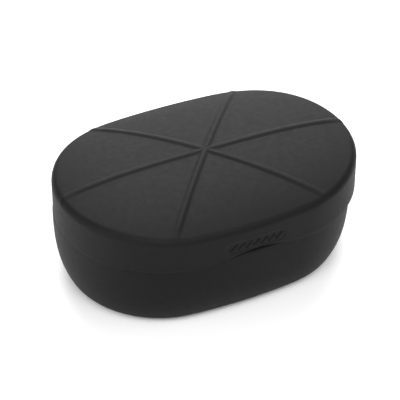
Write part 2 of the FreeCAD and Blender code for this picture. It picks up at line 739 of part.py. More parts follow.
def contact_block(side):
    """Insulating block that guides a pocket's two charging pins."""
    centre = Vector(PIN_PAIR_X, PIN_PAIR_Y, (BOARD_TOP + PIN_BLOCK_TOP) / 2)
    body = block(centre, Vector(PIN_BLOCK_LENGTH, PIN_BLOCK_WIDTH, PIN_BLOCK_TOP - BOARD_TOP))
    for place in contact_places():
        floor = place + UP * (BOARD_TOP + PIN_BLOCK_FLOOR)
        body = body.cut(rod(CONTACT_RADIUS + CONTACT_PLAY, floor, place + UP * TALL))
    return mirror_x(body) if side < 0 else body


def contact_pin(side, index):
    """Round-tipped plunger that stands a little way into the pocket."""
    floor = POCKET_AXIS_Z - POCKET_RADIUS
    place = contact_places()[index]
    tip = floor + CONTACT_STAND
    shank = rod(CONTACT_RADIUS, place + UP * CONTACT_BOTTOM, place + UP * (tip - CONTACT_RADIUS))
    pin = shank.fuse(Part.makeSphere(CONTACT_RADIUS, place + UP * (tip - CONTACT_RADIUS)))
    pin = pin.removeSplitter()
    return mirror_x(pin) if side < 0 else pin


def switch_board():
    size = Vector(SWITCH_BOARD_SIZE[0], SWITCH_BOARD_SIZE[1], SWITCH_BOARD_THICK)
    board = block(Vector(0, BUTTON_Y, SWITCH_BOARD_TOP - SWITCH_BOARD_THICK / 2), size)
    holes = []
    for _, side in SIDES:
        post = Vector(side * POST_X, BUTTON_Y, 0)
        holes.append(rod(POST_SCREW + POST_SCREW_PLAY, post, post + UP * TALL))
    return board.cut(holes)


def switch_board_screws():
    """Screws that hold the switch board up against its posts."""
    low = SWITCH_BOARD_TOP - SWITCH_BOARD_THICK
    place = Vector(POST_X, BUTTON_Y, low)
    head = rod(POST_HEAD_RADIUS, place - UP * SCREW_HEAD_THICK, place)
    shank = rod(POST_SCREW - HAIR, place, Vector(POST_X, BUTTON_Y, DECK_UNDER - POST_SCREW_END))
    return both_ends(shank.fuse(head).removeSplitter())


def tact_switch():
    centre = Vector(0, BUTTON_Y, SWITCH_BOARD_TOP + SWITCH_SIZE.z / 2)
    return block(centre, SWITCH_SIZE)


def pairing_button():
    """Round button with a flange that keeps it under the deck."""
    place = Vector(0, BUTTON_Y, 0)
    top = DECK_TOP + BUTTON_STAND
    seat = place + UP * (DECK_UNDER - BUTTON_REST)
    cap = rod(BUTTON_RADIUS, seat - UP * NEAR, place + UP * top)
    cap = cap.makeFillet(BUTTON_EDGE, edges_between(cap, top - NEAR, top + NEAR))
    flange = rod(BUTTON_RADIUS + BUTTON_FLANGE, seat - UP * BUTTON_FLANGE, seat)
    foot = SWITCH_BOARD_TOP + SWITCH_SIZE.z + BUTTON_TRAVEL + BUTTON_REST
    stem = rod(BUTTON_STEM, place + UP * foot, seat)
    return cap.fuse([flange, stem]).removeSplitter()


def status_light():
    return block(Vector(LIGHT_X, BUTTON_Y, SWITCH_BOARD_TOP + LIGHT_SIZE.z / 2), LIGHT_SIZE)


def light_pipe():
    low = Vector(LIGHT_X, BUTTON_Y, SWITCH_BOARD_TOP + LIGHT_SIZE.z + LIGHT_GAP)
    return rod(LIGHT_RADIUS, low, Vector(LIGHT_X, BUTTON_Y, DECK_TOP))


def hall_sensor():
    return block(Vector(-LIGHT_X, BUTTON_Y, SWITCH_BOARD_TOP + SENSOR_SIZE.z / 2), SENSOR_SIZE)


def ribbon_cable():
    """Flat ribbon from under the switch board, back and down on to the main board."""
    half = RIBBON_WIDTH / 2
    high = SWITCH_BOARD_TOP - SWITCH_BOARD_THICK
    thick = RIBBON_THICK
    upper = box(Vector(-half, RIBBON_START, high - thick), Vector(half, RIBBON_DROP, high))
    drop = box(Vector(-half, RIBBON_DROP - thick, BOARD_TOP), Vector(half, RIBBON_DROP, high))
    lower = box(Vector(-half, RIBBON_DROP - thick, BOARD_TOP), Vector(half, RIBBON_END, BOARD_TOP + thick))
    return upper.fuse([drop, lower]).removeSplitter()


def all_parts():
    """Node name to shape, for the whole case."""
    parts = {
        "base_outer_shell": base_outer_shell(),
        "cradle": cradle(),
        "lid_outer_shell": lid_outer_shell(),
        "lid_liner": lid_liner(),
        "hinge_leaf_base": hinge_leaf_base(),
        "hinge_leaf_lid": hinge_leaf_lid(),
        "hinge_pin": hinge_pin(),
        "hinge_screws_base": hinge_screws(base_screw_height()),
        "hinge_screws_lid": hinge_screws(lid_screw_height()),
        "latch_magnets_base": latch_magnets(LATCH_BASE_Z),
        "latch_magnets_lid": latch_magnets(LATCH_LID_Z),
        "hall_magnet": hall_magnet(),
        "hall_sensor": hall_sensor(),
        "main_board": main_board(),
        "board_chips": board_chips(),
        "board_screws": board_screws(),
        "battery_cell": battery_cell(),
        "battery_foam_pad": battery_foam_pad(),
        "battery_leads": battery_leads(),
        "port_shell": port_shell(),
        "port_tongue": port_tongue(),
        "port_bezel": port_bezel(),
        "switch_board": switch_board(),
        "switch_board_screws": switch_board_screws(),
        "tact_switch": tact_switch(),
        "pairing_button": pairing_button(),
        "status_light": status_light(),
        "light_pipe": light_pipe(),
        "ribbon_cable": ribbon_cable(),
    }
    for name, side in SIDES:
        parts["lid_pad_" + name] = lid_pad(side)
        parts["keeper_magnet_" + name] = keeper_magnet(side)
        parts["contact_block_" + name] = contact_block(side)
        for index, label in enumerate(("inner", "outer")):
            parts[f"contact_pin_{name}_{label}"] = contact_pin(side, index)
    return parts


os.makedirs("parts", exist_ok=True)
centring = BACK * ((LID_FORWARD + LID_OVERHANG) / 2)
for node, shape in all_parts().items():
    shape = shape.translated(centring)
    shape.exportStep(f"parts/{node}.step")
    print(node, "solids", len(shape.Solids), "volume", round(shape.Volume, 1), "valid", shape.isValid())
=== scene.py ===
import json
import math

import bpy
import numpy as np
from mathutils import Matrix, Vector


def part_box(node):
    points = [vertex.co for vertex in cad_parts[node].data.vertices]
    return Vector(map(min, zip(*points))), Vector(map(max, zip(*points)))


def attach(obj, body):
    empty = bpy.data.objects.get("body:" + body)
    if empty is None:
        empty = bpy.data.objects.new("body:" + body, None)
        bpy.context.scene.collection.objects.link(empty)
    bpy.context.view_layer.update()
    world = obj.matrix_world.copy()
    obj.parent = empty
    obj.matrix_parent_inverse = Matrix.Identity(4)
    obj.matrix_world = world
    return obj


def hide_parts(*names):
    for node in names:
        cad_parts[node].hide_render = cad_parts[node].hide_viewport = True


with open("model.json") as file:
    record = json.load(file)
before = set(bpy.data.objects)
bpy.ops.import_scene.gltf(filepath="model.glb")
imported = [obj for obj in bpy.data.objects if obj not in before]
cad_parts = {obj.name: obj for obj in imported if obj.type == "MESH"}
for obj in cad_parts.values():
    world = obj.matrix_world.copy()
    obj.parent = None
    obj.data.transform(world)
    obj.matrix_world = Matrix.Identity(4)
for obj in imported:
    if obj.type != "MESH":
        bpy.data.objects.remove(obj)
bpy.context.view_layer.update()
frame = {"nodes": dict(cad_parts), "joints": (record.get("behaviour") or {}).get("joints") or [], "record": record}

MM = 0.001
MICRON = 0.000001


def corners(node):
    """A CAD node's lowest and highest corner, in millimetres."""
    low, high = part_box(node)
    return low / MM, high / MM


# ------------------------------------------------------------------ sizes, in millimetres

base_low, base_high = corners("base_outer_shell")
lid_low, lid_high = corners("lid_outer_shell")
hinge = next(joint for joint in frame["joints"] if joint["name"] == "lid_hinge")
HINGE_Z = hinge["pos_m"][2] / MM

# Plan outline: two end arcs joined by two flatter side arcs, which bow out past the ends' width.
SIDE_BOW = 0.55
HALF_LENGTH = base_high.x
HALF_WIDTH = (base_high.y - base_low.y) / 2
BASE_Y = (base_high.y + base_low.y) / 2
END_RADIUS = HALF_WIDTH - SIDE_BOW
END_CENTRE = HALF_LENGTH - END_RADIUS
SIDE_RADIUS = (END_CENTRE**2 + HALF_WIDTH**2 - END_RADIUS**2) / (2 * (HALF_WIDTH - END_RADIUS))
SIDE_CENTRE = SIDE_RADIUS - HALF_WIDTH
LEAN = math.atan2(END_CENTRE, SIDE_CENTRE)

# Lid: its crown falls away along and across by a square and a fourth-power term.
LID_Y = (lid_high.y + lid_low.y) / 2
LID_BOTTOM = lid_low.z
LID_OUT = lid_high.x - base_high.x
RIB_HEIGHT = 0.3
DOME_TOP = lid_high.z - RIB_HEIGHT
FALL_ALONG = (0.00051, 1.63e-6)
FALL_ACROSS = (0.00523, 2.78e-6)
TOP_EDGE = 1.7
LID_LIP = 0.25
LID_WALL = 1.4
RIB_ANGLES = (0.0, 51.3, 128.7)
RIB_CREST = 0.1
RIB_FOOT = 1.1
RIB_FADE_FROM = 0.88
RIB_END = 0.55
NOTCH_X = 0.5
NOTCH_HALF = 12.0
NOTCH_HEIGHT = 1.5
WINDOW_HALF = 14.6
WINDOW_REACH = 2.3
WINDOW_CORNER = 0.8

# Grip patch above the finger notch.
GRIP_X = 0.3
GRIP_Z = 19.7
GRIP_HALF = 6.6
GRIP_RADIUS = 1.3
GRIP_DEPTH = 0.1
GRIP_EDGE = 0.2
GROOVE_COUNT = 7
GROOVE_PITCH = 1.7
GROOVE_HALF = 0.7
GROOVE_RADIUS = 0.3
GROOVE_DEPTH = 0.4
GROOVE_EDGE = 0.22
GROOVE_SLANT = math.radians(42)

# Soft pads, and the liner's underside that two of them hang from.
LINER_DROP = 2.5
LINER_ALONG = 300.0
LINER_ACROSS = 82.0
LID_PAD_THICK = 1.55
PAD_SQUARE = 0.5
PAD_BULGE = 0.035
PAD_SIDE = 0.8
PAD_SHOULDER = 0.86
PAD_BORDER_AT = 0.82
PAD_BORDER_WIDTH = 0.035
PAD_BORDER_DEPTH = 0.16

# Base.
RIM_TOP = base_high.z
BASE_WALL = 1.5
FLOOR = 1.5
BELLY_INSET = 3.3
BELLY_POWER = 3.3
BOTTOM_EDGE = 1.8
RIM_EDGE = 0.6

# How far the port's cutter runs past the bezel at each end.
CUTTER_SPARE = 2.0

# Mesh columns round the outline: plain and fine spacing, and how far fine stretches reach.
COLUMN_STEP = 0.55
FINE_STEP = 0.12
RIB_REACH = 2.4
GRIP_REACH = 7.4
CORNER_REACH = 1.2

# Mesh rows of the lid's crown and grip.
CROWN_CROWDING = 0.9
GRIP_ROW_STEP = 0.1
GRIP_ROWS_ABOVE = 1.8

# An outward normal whose y is below this faces the front, and a sharper edge than this shows as one.
FRONT_FACING = -0.9
SHARP_ANGLE = math.radians(38)


# ------------------------------------------------------------------ outline


def perimeter():
    """Arc lengths at which the outline changes from one arc to the next, from the right tip round."""
    quarter = END_RADIUS * (math.pi / 2 - LEAN)
    side = SIDE_RADIUS * 2 * LEAN
    return np.cumsum([0, quarter, side, 2 * quarter, side, quarter])


def headings(lengths):
    """Direction of the outline's outward normal at each arc length."""
    quarter = math.pi / 2
    turns = [0, quarter - LEAN, quarter + LEAN, 3 * quarter - LEAN, 3 * quarter + LEAN, 4 * quarter]
    return np.interp(lengths, perimeter(), turns)


def outline(turn, offset):
    """Points at an outward offset from the outline, where its normal has each heading."""
    nx, ny = np.cos(turn), np.sin(turn)
    on_side = np.abs(nx) < math.sin(LEAN)
    cx = np.where(on_side, 0.0, np.sign(nx) * END_CENTRE)
    cy = np.where(on_side, -np.sign(ny) * SIDE_CENTRE, 0.0)
    radius = np.where(on_side, SIDE_RADIUS, END_RADIUS) + offset
    return cx + radius * nx, cy + radius * ny


def columns(fine_places):
    """Normal headings round the outline, closer together near the given places (arc length, reach)."""
    total = perimeter()[-1]
    lengths = [0.0]
    while lengths[-1] < total:
        here = lengths[-1]
        near = any(
            min(abs(here - place), total - abs(here - place)) < reach
            for place, reach in fine_places
        )
        lengths.append(here + (FINE_STEP if near else COLUMN_STEP))
    lengths = np.array(lengths[:-1])
    return headings(lengths * total / (lengths[-1] + COLUMN_STEP))


def arc_length_at(x, y):
    """Arc length of the outline's point nearest to a plan position's direction from the middle."""
    lengths = np.linspace(0, perimeter()[-1], 4000)
    px, py = outline(headings(lengths), 0)
    gap = np.angle(np.exp(1j * (np.arctan2(py, px) - math.atan2(y, x))))
    return lengths[np.argmin(np.abs(gap))]


# ------------------------------------------------------------------ meshes


def steps(count):
    """Evenly spaced shares, the last one 1 and 0 left out."""
    return np.linspace(0, 1, count + 1)[1:]


def full_turn(count):
    """Evenly spaced angles once round."""
    return np.linspace(0, 2 * math.pi, count + 1)[:-1]


def smooth(share):
    """Soft step from 0 to 1."""
    share = np.clip(share, 0, 1)
    return share * share * (3 - 2 * share)


def ring_mesh(name, rows):
    """Mesh through closed rows of points, (count, 3) in millimetres, with a pole at each end."""
    count = len(rows[0])
    points = np.concatenate(rows)
    index = np.arange(count)
    after = (index + 1) % count
    faces = []
    for r in range(len(rows) - 1):
        a, b = r * count, (r + 1) * count
        faces.append(np.stack([a + index, b + index, b + after, a + after], 1))
    faces = np.concatenate(faces).tolist()
    first_pole = len(points)
    last_pole = first_pole + 1
    last = (len(rows) - 1) * count
    faces += [[first_pole, int(i), int(j)] for i, j in zip(index, after)]
    faces += [[last_pole, int(last + j), int(last + i)] for i, j in zip(index, after)]
    points = np.concatenate([points, [rows[0].mean(0), rows[-1].mean(0)]])
    return mesh_object(name, points, faces)


def mesh_object(name, points, faces):
    """Smooth-shaded mesh object from points in millimetres."""
    mesh = bpy.data.meshes.new(name)
    mesh.from_pydata((np.asarray(points) * MM).tolist(), [], faces)
    mesh.validate()
    mesh.shade_smooth()
    mesh.set_sharp_from_angle(angle=SHARP_ANGLE)
    piece = bpy.data.objects.new(name, mesh)
    bpy.context.scene.collection.objects.link(piece)
    return piece


def row(x, y, z):
    """Row of points at plan positions, with one height for all or one for each."""
    return np.stack([x, y, np.broadcast_to(z, np.shape(x))], 1)


def dome(x, y, drop=0.0):
    """Height of the lid's top surface without its ribs."""
    along = FALL_ALONG[0] * x**2 + FALL_ALONG[1] * x**4
    across = FALL_ACROSS[0] * y**2 + FALL_ACROSS[1] * y**4
    return DOME_TOP - drop - along - across


def dome_fall(x, y, nx, ny):
    """Steepness of the lid's top surface towards a direction."""
    along = 2 * FALL_ALONG[0] * x + 4 * FALL_ALONG[1] * x**3
    across = 2 * FALL_ACROSS[0] * y + 4 * FALL_ACROSS[1] * y**3
    return along * nx + across * ny


def rib_height(x, y):
    """How far the ribs stand over the dome."""
    rise = np.zeros_like(x)
    for angle in RIB_ANGLES:
        turn = math.radians(angle)
        apart = np.abs(-math.sin(turn) * x + math.cos(turn) * y)
        rise = np.maximum(rise, RIB_HEIGHT * smooth((RIB_FOOT - apart) / (RIB_FOOT - RIB_CREST)))
    return rise


def grip_sink(x, z):
    """Depth of the grip patch at a place on the lid's front."""
    x = x - GRIP_X
    along = np.maximum(np.abs(x) - (GRIP_HALF - GRIP_RADIUS), 0)
    edge = np.hypot(along, z - GRIP_Z) - GRIP_RADIUS
    sink = GRIP_DEPTH * smooth(0.5 - edge / GRIP_EDGE)
    for i in range(GROOVE_COUNT):
        dx = x - (i - (GROOVE_COUNT - 1) / 2) * GROOVE_PITCH
        dz = z - GRIP_Z
        run = dx * math.cos(GROOVE_SLANT) + dz * math.sin(GROOVE_SLANT)
        off = -dx * math.sin(GROOVE_SLANT) + dz * math.cos(GROOVE_SLANT)
        gap = np.hypot(np.maximum(np.abs(run) - GROOVE_HALF, 0), off) - GROOVE_RADIUS
        sink = np.maximum(sink, GROOVE_DEPTH * smooth(0.5 - gap / GROOVE_EDGE))
    return sink


def window_step(x, y):
    """Share of the hinge window's full reach at a place on the rear edge, with rounded corners."""
    inside = np.clip(WINDOW_HALF - np.abs(x), 0, None)
    short = np.clip(WINDOW_CORNER - inside, 0, None)
    corner = WINDOW_CORNER - np.sqrt(np.clip(WINDOW_CORNER**2 - short**2, 0, None))
    reach = np.where(inside > 0, WINDOW_REACH - corner, 0.0)
    return np.where(y > 0, reach, 0.0)


def lid_edge(x, y):
    """Height of the lid's lower edge: raised at the finger notch and at the hinge window."""
    arch = np.cos(np.clip((x - NOTCH_X) / NOTCH_HALF, -1, 1) * math.pi / 2) ** 2
    notch = np.where(y < 0, NOTCH_HEIGHT * arch, 0.0)
    return LID_BOTTOM + notch + window_step(x, y)


def window_places():
    """Where fine columns are needed for the window's two corners, a quarter of the way round."""
    rear = perimeter()[-1] / 4
    return [(rear - WINDOW_HALF, CORNER_REACH), (rear + WINDOW_HALF, CORNER_REACH)]


def lid_columns():
    """Column headings of the lid, fine at the window corners, both ends of each rib and the grip."""
    places = window_places()
    for angle in RIB_ANGLES:
        for way in (0, 180):
            turn = math.radians(angle + way)
            places.append((arc_length_at(math.cos(turn), math.sin(turn)), RIB_REACH))
    front = perimeter()[-1] * 0.75
    places.append((front, GRIP_REACH))
    return columns(places)


def lid_outer_shell():
    """Lid moulding, as rows from the crown's middle down the outside and back up the inside."""
    turn = lid_columns()
    nx, ny = np.cos(turn), np.sin(turn)
    rim_x, rim_y = outline(turn, LID_OUT - TOP_EDGE)
    fall = dome_fall(rim_x, rim_y, nx, ny)
    start = np.arctan(fall)
    centre_z = dome(rim_x, rim_y) - TOP_EDGE * np.sqrt(1 + fall**2)
    first_x, first_y = outline(turn, LID_OUT - TOP_EDGE + TOP_EDGE * np.sin(start))
    rows = []
    # Crown, its rows slightly closer towards the rim and its ribs fading there.
    for share in steps(48) ** CROWN_CROWDING:
        x, y = first_x * share, first_y * share
        fade = 1 - (1 - RIB_END) * smooth((share - RIB_FADE_FROM) / (1 - RIB_FADE_FROM))
        rows.append(row(x, y, dome(x, y) + rib_height(x, y) * fade))
    # Rounded top edge, which starts where the crown's slope meets it.
    for step in steps(14):
        bend = start + (math.pi / 2 - start) * step
        rise = RIB_END * rib_height(first_x, first_y) * np.cos(bend)
        reach = np.minimum((TOP_EDGE + rise) * np.sin(bend), TOP_EDGE)
        x, y = outline(turn, LID_OUT - TOP_EDGE + reach)
        rows.append(row(x, y, centre_z + (TOP_EDGE + rise) * np.cos(bend)))
    # Outer wall, with close rows over the grip patch.
    wall_x, wall_y = outline(turn, LID_OUT)
    edge = lid_edge(wall_x, wall_y)
    lip = edge + LID_LIP
    front = np.argmin(wall_y)
    grip = np.arange(GRIP_Z + GRIP_ROWS_ABOVE, lip[front] + GRIP_ROW_STEP / 2, -GRIP_ROW_STEP)
    upper = np.linspace(centre_z[front], grip[0], 6)[1:-1]
    for level in [*upper, *grip, lip[front]]:
        share = (level - lip[front]) / (centre_z[front] - lip[front])
        high = lip + share * (centre_z - lip)
        sink = np.where(ny < FRONT_FACING, grip_sink(wall_x, high), 0.0)
        x, y = outline(turn, LID_OUT - sink)
        rows.append(row(x, y, high))
    # Rounded lip, then its flat lower face.
    for step in steps(7):
        bend = step * math.pi / 2
        high = lip - LID_LIP * math.sin(bend)
        sink = np.where(ny < FRONT_FACING, grip_sink(wall_x, high), 0.0) * math.cos(bend)
        x, y = outline(turn, LID_OUT - LID_LIP * (1 - math.cos(bend)) - sink)
        rows.append(row(x, y, high))
    for inward in (0.75, 0.95, LID_WALL - 0.1):
        x, y = outline(turn, LID_OUT - inward)
        rows.append(row(x, y, edge))
    # Inner wall up to the ceiling, then the ceiling in to its middle.
    inner_x, inner_y = outline(turn, LID_OUT - LID_WALL)
    ceiling = dome(inner_x, inner_y, LID_WALL)
    for share in (0.02, 0.3, 0.6, 0.85, 0.97):
        rows.append(row(inner_x, inner_y, edge + share * (ceiling - edge)))
    for share in (0.985, 0.9, 0.7, 0.45, 0.2):
        x, y = inner_x * share, inner_y * share
        rows.append(row(x, y, dome(x, y, LID_WALL)))
    return ring_mesh("lid_shell_moulding", rows)


def base_offset(z):
    """Inward curve of the base's wall at height z, bottom edge included."""
    belly = BELLY_INSET * (1 - z / RIM_TOP) ** BELLY_POWER
    low = np.clip(BOTTOM_EDGE - z, 0, None)
    return belly + BOTTOM_EDGE - math.sqrt(BOTTOM_EDGE**2 - low**2)


def base_outer_shell():
    """Base moulding, as rows from the bottom's middle up the outside and back down the inside."""
    turn = columns(window_places())
    wall_x, wall_y = outline(turn, 0)
    window_depth = RIM_TOP - HINGE_Z + WINDOW_REACH
    rim = RIM_TOP - window_step(wall_x, wall_y) * window_depth / WINDOW_REACH
    rows = []
    # Flat bottom and its rounded edge.
    foot_x, foot_y = outline(turn, -base_offset(0))
    for share in (0.1, 0.4, 0.7, 0.9, 0.97):
        rows.append(row(foot_x * share, foot_y * share, 0.0))
    for z in BOTTOM_EDGE * (1 - np.cos(np.linspace(0, math.pi / 2, 10))):
        x, y = outline(turn, -base_offset(z))
        rows.append(row(x, y, z))
    # Outer wall, which draws in towards the bottom, then the rounded rim.
    top = RIM_TOP - RIM_EDGE
    for share in steps(33):
        level = BOTTOM_EDGE + share * (top - BOTTOM_EDGE)
        high = BOTTOM_EDGE + share * (rim - RIM_EDGE - BOTTOM_EDGE)
        x, y = outline(turn, -base_offset(min(level, top)))
        rows.append(row(x, y, high))
    for step in steps(6):
        bend = step * math.pi / 2
        x, y = outline(turn, -base_offset(top) - RIM_EDGE * (1 - math.cos(bend)))
        rows.append(row(x, y, rim - RIM_EDGE + RIM_EDGE * math.sin(bend)))
    for inward in (0.7, BASE_WALL - 0.15):
        x, y = outline(turn, -inward)
        rows.append(row(x, y, rim))
    # Inner wall down to the floor, then the floor in to its middle.
    for share in (0.99, 0.8, 0.55, 0.3, 0.12, 0.03):
        level = FLOOR + share * (RIM_TOP - FLOOR)
        x, y = outline(turn, -base_offset(level) - BASE_WALL)
        rows.append(row(x, y, FLOOR + share * (rim - FLOOR)))
    inner = base_offset(FLOOR) + BASE_WALL
    inner_x, inner_y = outline(turn, -inner - 0.4)
    for share in (1.0, 0.8, 0.5, 0.2):
        rows.append(row(inner_x * share, inner_y * share, FLOOR))
    return ring_mesh("base_shell_moulding", rows)


def lid_ceiling(x, y):
    """Underside of the lid's liner, where the soft pads are glued on."""
    y = y - LID_Y
    return DOME_TOP - LINER_DROP - x**2 / (2 * LINER_ALONG) - y**2 / (2 * LINER_ACROSS)


def foam_pad(node, rest, way):
    """Soft pad on a surface, standing up (way 1) or hanging down (way -1) from it.

    Its side bulges, and its free face has a pressed border.
    """
    low, high = corners(node)
    middle, half = (low + high) / 2, (high - low) / 2
    turn = full_turn(180)
    side_x = np.sign(np.cos(turn)) * np.abs(np.cos(turn)) ** PAD_SQUARE * half.x
    side_y = np.sign(np.sin(turn)) * np.abs(np.sin(turn)) ** PAD_SQUARE * half.y
    thick = 2 * half.z if way > 0 else LID_PAD_THICK
    rows = []
    for share in (0.1, 0.5, 0.9, 0.97):
        x, y = middle.x + side_x * share, middle.y + side_y * share
        rows.append(row(x, y, rest(x, y)))
    for lift in np.linspace(0.06, 0.94, 9):
        share = 1 - PAD_BULGE + PAD_BULGE * math.sin(math.pi * lift) ** 0.6
        x, y = middle.x + side_x * share, middle.y + side_y * share
        rows.append(row(x, y, rest(x, y) + way * thick * lift * PAD_SIDE))
    for share in np.linspace(0.955, 0.02, 30):
        x, y = middle.x + side_x * share, middle.y + side_y * share
        crown = PAD_SHOULDER + (1 - PAD_SHOULDER) * smooth((0.97 - share) / 0.5)
        border = PAD_BORDER_DEPTH * np.exp(-(((share - PAD_BORDER_AT) / PAD_BORDER_WIDTH) ** 2))
        rows.append(row(x, y, rest(x, y) + way * thick * (crown - border)))
    if way < 0:
        rows = rows[::-1]
    return ring_mesh(node + "_foam", rows)


# ------------------------------------------------------------------ materials


# Colour sockets of a Mix node, which share their names with its number and vector sockets.
MIX_FIRST = 6
MIX_SECOND = 7
MIX_RESULT = 2


class Nodes:
    """Shorthand for building one material's node tree."""

    def __init__(self, name):
        self.material = bpy.data.materials.new(name)
        self.material.use_nodes = True
        self.tree = self.material.node_tree
        self.tree.nodes.clear()
        self.shader = self.add("ShaderNodeBsdfPrincipled")
        output = self.add("ShaderNodeOutputMaterial")
        self.link(self.shader.outputs[0], output.inputs[0])
        self.place = self.add("ShaderNodeTexCoord").outputs["Object"]

    def add(self, kind, **inputs):
        """New node with the given input values, an underscore standing for a space."""
        node = self.tree.nodes.new(kind)
        for key, value in inputs.items():
            node.inputs[key.replace("_", " ")].default_value = value
        return node

    def link(self, start, end):
        self.tree.links.new(start, end)

    def noise(self, scale, detail=3.0, roughness=0.6, stretch=None):
        """Noise in object space, with its frequency multiplied by stretch along each axis."""
        node = self.add("ShaderNodeTexNoise", Scale=scale, Detail=detail, Roughness=roughness)
        place = self.place
        if stretch:
            mapping = self.add("ShaderNodeMapping", Scale=stretch)
            self.link(place, mapping.inputs["Vector"])
            place = mapping.outputs[0]
        self.link(place, node.inputs["Vector"])
        return node.outputs["Fac"]

    def cells(self, scale):
        """Distance from the middle of small cells."""
        node = self.add("ShaderNodeTexVoronoi", Scale=scale)
        self.link(self.place, node.inputs["Vector"])
        return node.outputs["Distance"]

    def spread(self, value, low, high, from_low=0.3, from_high=0.7):
        """Value from one range spread over another."""
        node = self.add("ShaderNodeMapRange")
        node.inputs["From Min"].default_value = from_low
        node.inputs["From Max"].default_value = from_high
        node.inputs["To Min"].default_value = low
        node.inputs["To Max"].default_value = high
        self.link(value, node.inputs["Value"])
        return node.outputs["Result"]

    def colour(self, factor, first, second):
        """Base colour mixed between two by a factor from 0 to 1."""
        node = self.tree.nodes.new("ShaderNodeMix")
        node.data_type = "RGBA"
        node.inputs[MIX_FIRST].default_value = (*first, 1)
        node.inputs[MIX_SECOND].default_value = (*second, 1)
        self.link(factor, node.inputs["Factor"])
        self.link(node.outputs[MIX_RESULT], self.shader.inputs["Base Color"])

    def rough(self, value, low, high):
        """Roughness spread between two values."""
        self.link(self.spread(value, low, high), self.shader.inputs["Roughness"])

    def bump(self, layers):
        """Stacks (height, distance in metres, strength) layers of bump."""
        normal = None
        for height, distance, strength in layers:
            node = self.add("ShaderNodeBump", Strength=strength, Distance=distance)
            self.link(height, node.inputs["Height"])
            if normal:
                self.link(normal, node.inputs["Normal"])
            normal = node.outputs[0]
        self.link(normal, self.shader.inputs["Normal"])

    def set(self, **values):
        """Shader inputs, an underscore standing for a space."""
        for key, value in values.items():
            self.shader.inputs[key.replace("_", " ")].default_value = value


def scaled(colour, factor):
    """Lighter or darker copy of a colour."""
    return tuple(min(1.0, c * factor) for c in colour)


def soft_touch(name, colour):
    """Rubberised coating: fine even grain, faint cloudiness and slightly uneven roughness."""
    nodes = Nodes(name)
    clouds = nodes.noise(scale=140, detail=4, roughness=0.55)
    grit = nodes.noise(scale=5200, detail=2, roughness=0.6)
    nodes.colour(nodes.spread(clouds, 0, 1, 0.35, 0.65), scaled(colour, 0.94), scaled(colour, 1.07))
    nodes.rough(nodes.noise(scale=900, detail=3, roughness=0.6), 0.57, 0.64)
    nodes.bump([(grit, 20 * MICRON, 0.22), (nodes.cells(2600), 20 * MICRON, 0.1)])
    nodes.set(Specular_IOR_Level=0.15)
    return nodes.material


def moulded(name, colour, rough, grain):
    """Injection-moulded plastic with a fine grain and faint flow marks."""
    nodes = Nodes(name)
    flow = nodes.noise(scale=90, detail=3, roughness=0.5, stretch=(1, 1, 3))
    nodes.colour(nodes.spread(flow, 0, 1, 0.3, 0.7), scaled(colour, 0.92), scaled(colour, 1.1))
    nodes.rough(nodes.noise(scale=600, detail=4, roughness=0.6), rough - 0.05, rough + 0.06)
    nodes.bump([(nodes.noise(scale=4200, detail=2, roughness=0.7), 20 * MICRON, 0.3 * grain)])
    nodes.set(Specular_IOR_Level=0.5)
    return nodes.material


def foam(name, colour):
    """Soft pad with small open cells."""
    nodes = Nodes(name)
    pores = nodes.cells(1800)
    nodes.colour(nodes.spread(pores, 0, 1, 0.1, 0.6), scaled(colour, 0.55), scaled(colour, 1.25))
    nodes.rough(nodes.noise(scale=700), 0.85, 0.97)
    fibres = nodes.noise(scale=3000, detail=3, roughness=0.7)
    nodes.bump([(pores, 120 * MICRON, 0.6), (fibres, 40 * MICRON, 0.5)])
    nodes.set(Sheen_Weight=0.25, Sheen_Roughness=0.6, Specular_IOR_Level=0.2)
    return nodes.material


def metal(name, colour, rough, stretch=(1, 12, 12), brushed=0.5):
    """Plated or brushed metal with lines drawn out by stretch, and light tarnish."""
    nodes = Nodes(name)
    lines = nodes.noise(scale=1500, detail=4, roughness=0.7, stretch=stretch)
    stain = nodes.noise(scale=260, detail=4, roughness=0.6)
    nodes.colour(nodes.spread(stain, 0, 1, 0.3, 0.75), scaled(colour, 1.0), scaled(colour, 0.8))
    nodes.rough(lines, rough - 0.08, rough + 0.12)
    nodes.bump([(lines, 10 * MICRON, 0.35 * brushed)])
    nodes.set(Metallic=1.0)
    return nodes.material


def circuit_board(name, colour):
    """Solder mask with a faint grid of tracks under it."""
    nodes = Nodes(name)
    tracks = nodes.add("ShaderNodeTexBrick", Scale=900.0, Mortar_Size=0.03)
    nodes.link(nodes.place, tracks.inputs["Vector"])
    grain = nodes.noise(scale=500, detail=3, roughness=0.6)
    lines = tracks.outputs["Fac"]
    nodes.colour(nodes.spread(lines, 0, 1, 0, 1), scaled(colour, 1.0), scaled(colour, 2.2))
    nodes.rough(grain, 0.28, 0.42)
    nodes.bump([(lines, 30 * MICRON, 0.5), (grain, 10 * MICRON, 0.2)])
    nodes.set(Coat_Weight=0.4, Coat_Roughness=0.2)
    return nodes.material


def foil(name, colour):
    """Wrinkled pouch foil of the cell."""
    nodes = Nodes(name)
    creases = nodes.noise(scale=300, detail=5, roughness=0.65, stretch=(1, 2, 2))
    nodes.colour(nodes.spread(creases, 0, 1), scaled(colour, 0.85), scaled(colour, 1.1))
    nodes.rough(nodes.noise(scale=900, detail=3, roughness=0.6), 0.25, 0.42)
    nodes.bump([(creases, 100 * MICRON, 0.5)])
    nodes.set(Metallic=0.85)
    return nodes.material


def clear_plastic(name, colour):
    """Milky light guide."""
    nodes = Nodes(name)
    haze = nodes.noise(scale=700, detail=3, roughness=0.5)
    nodes.colour(nodes.spread(haze, 0, 1), scaled(colour, 0.9), scaled(colour, 1.0))
    nodes.rough(haze, 0.2, 0.35)
    nodes.bump([(haze, 10 * MICRON, 0.2)])
    nodes.set(Transmission_Weight=0.55, IOR=1.49)
    return nodes.material


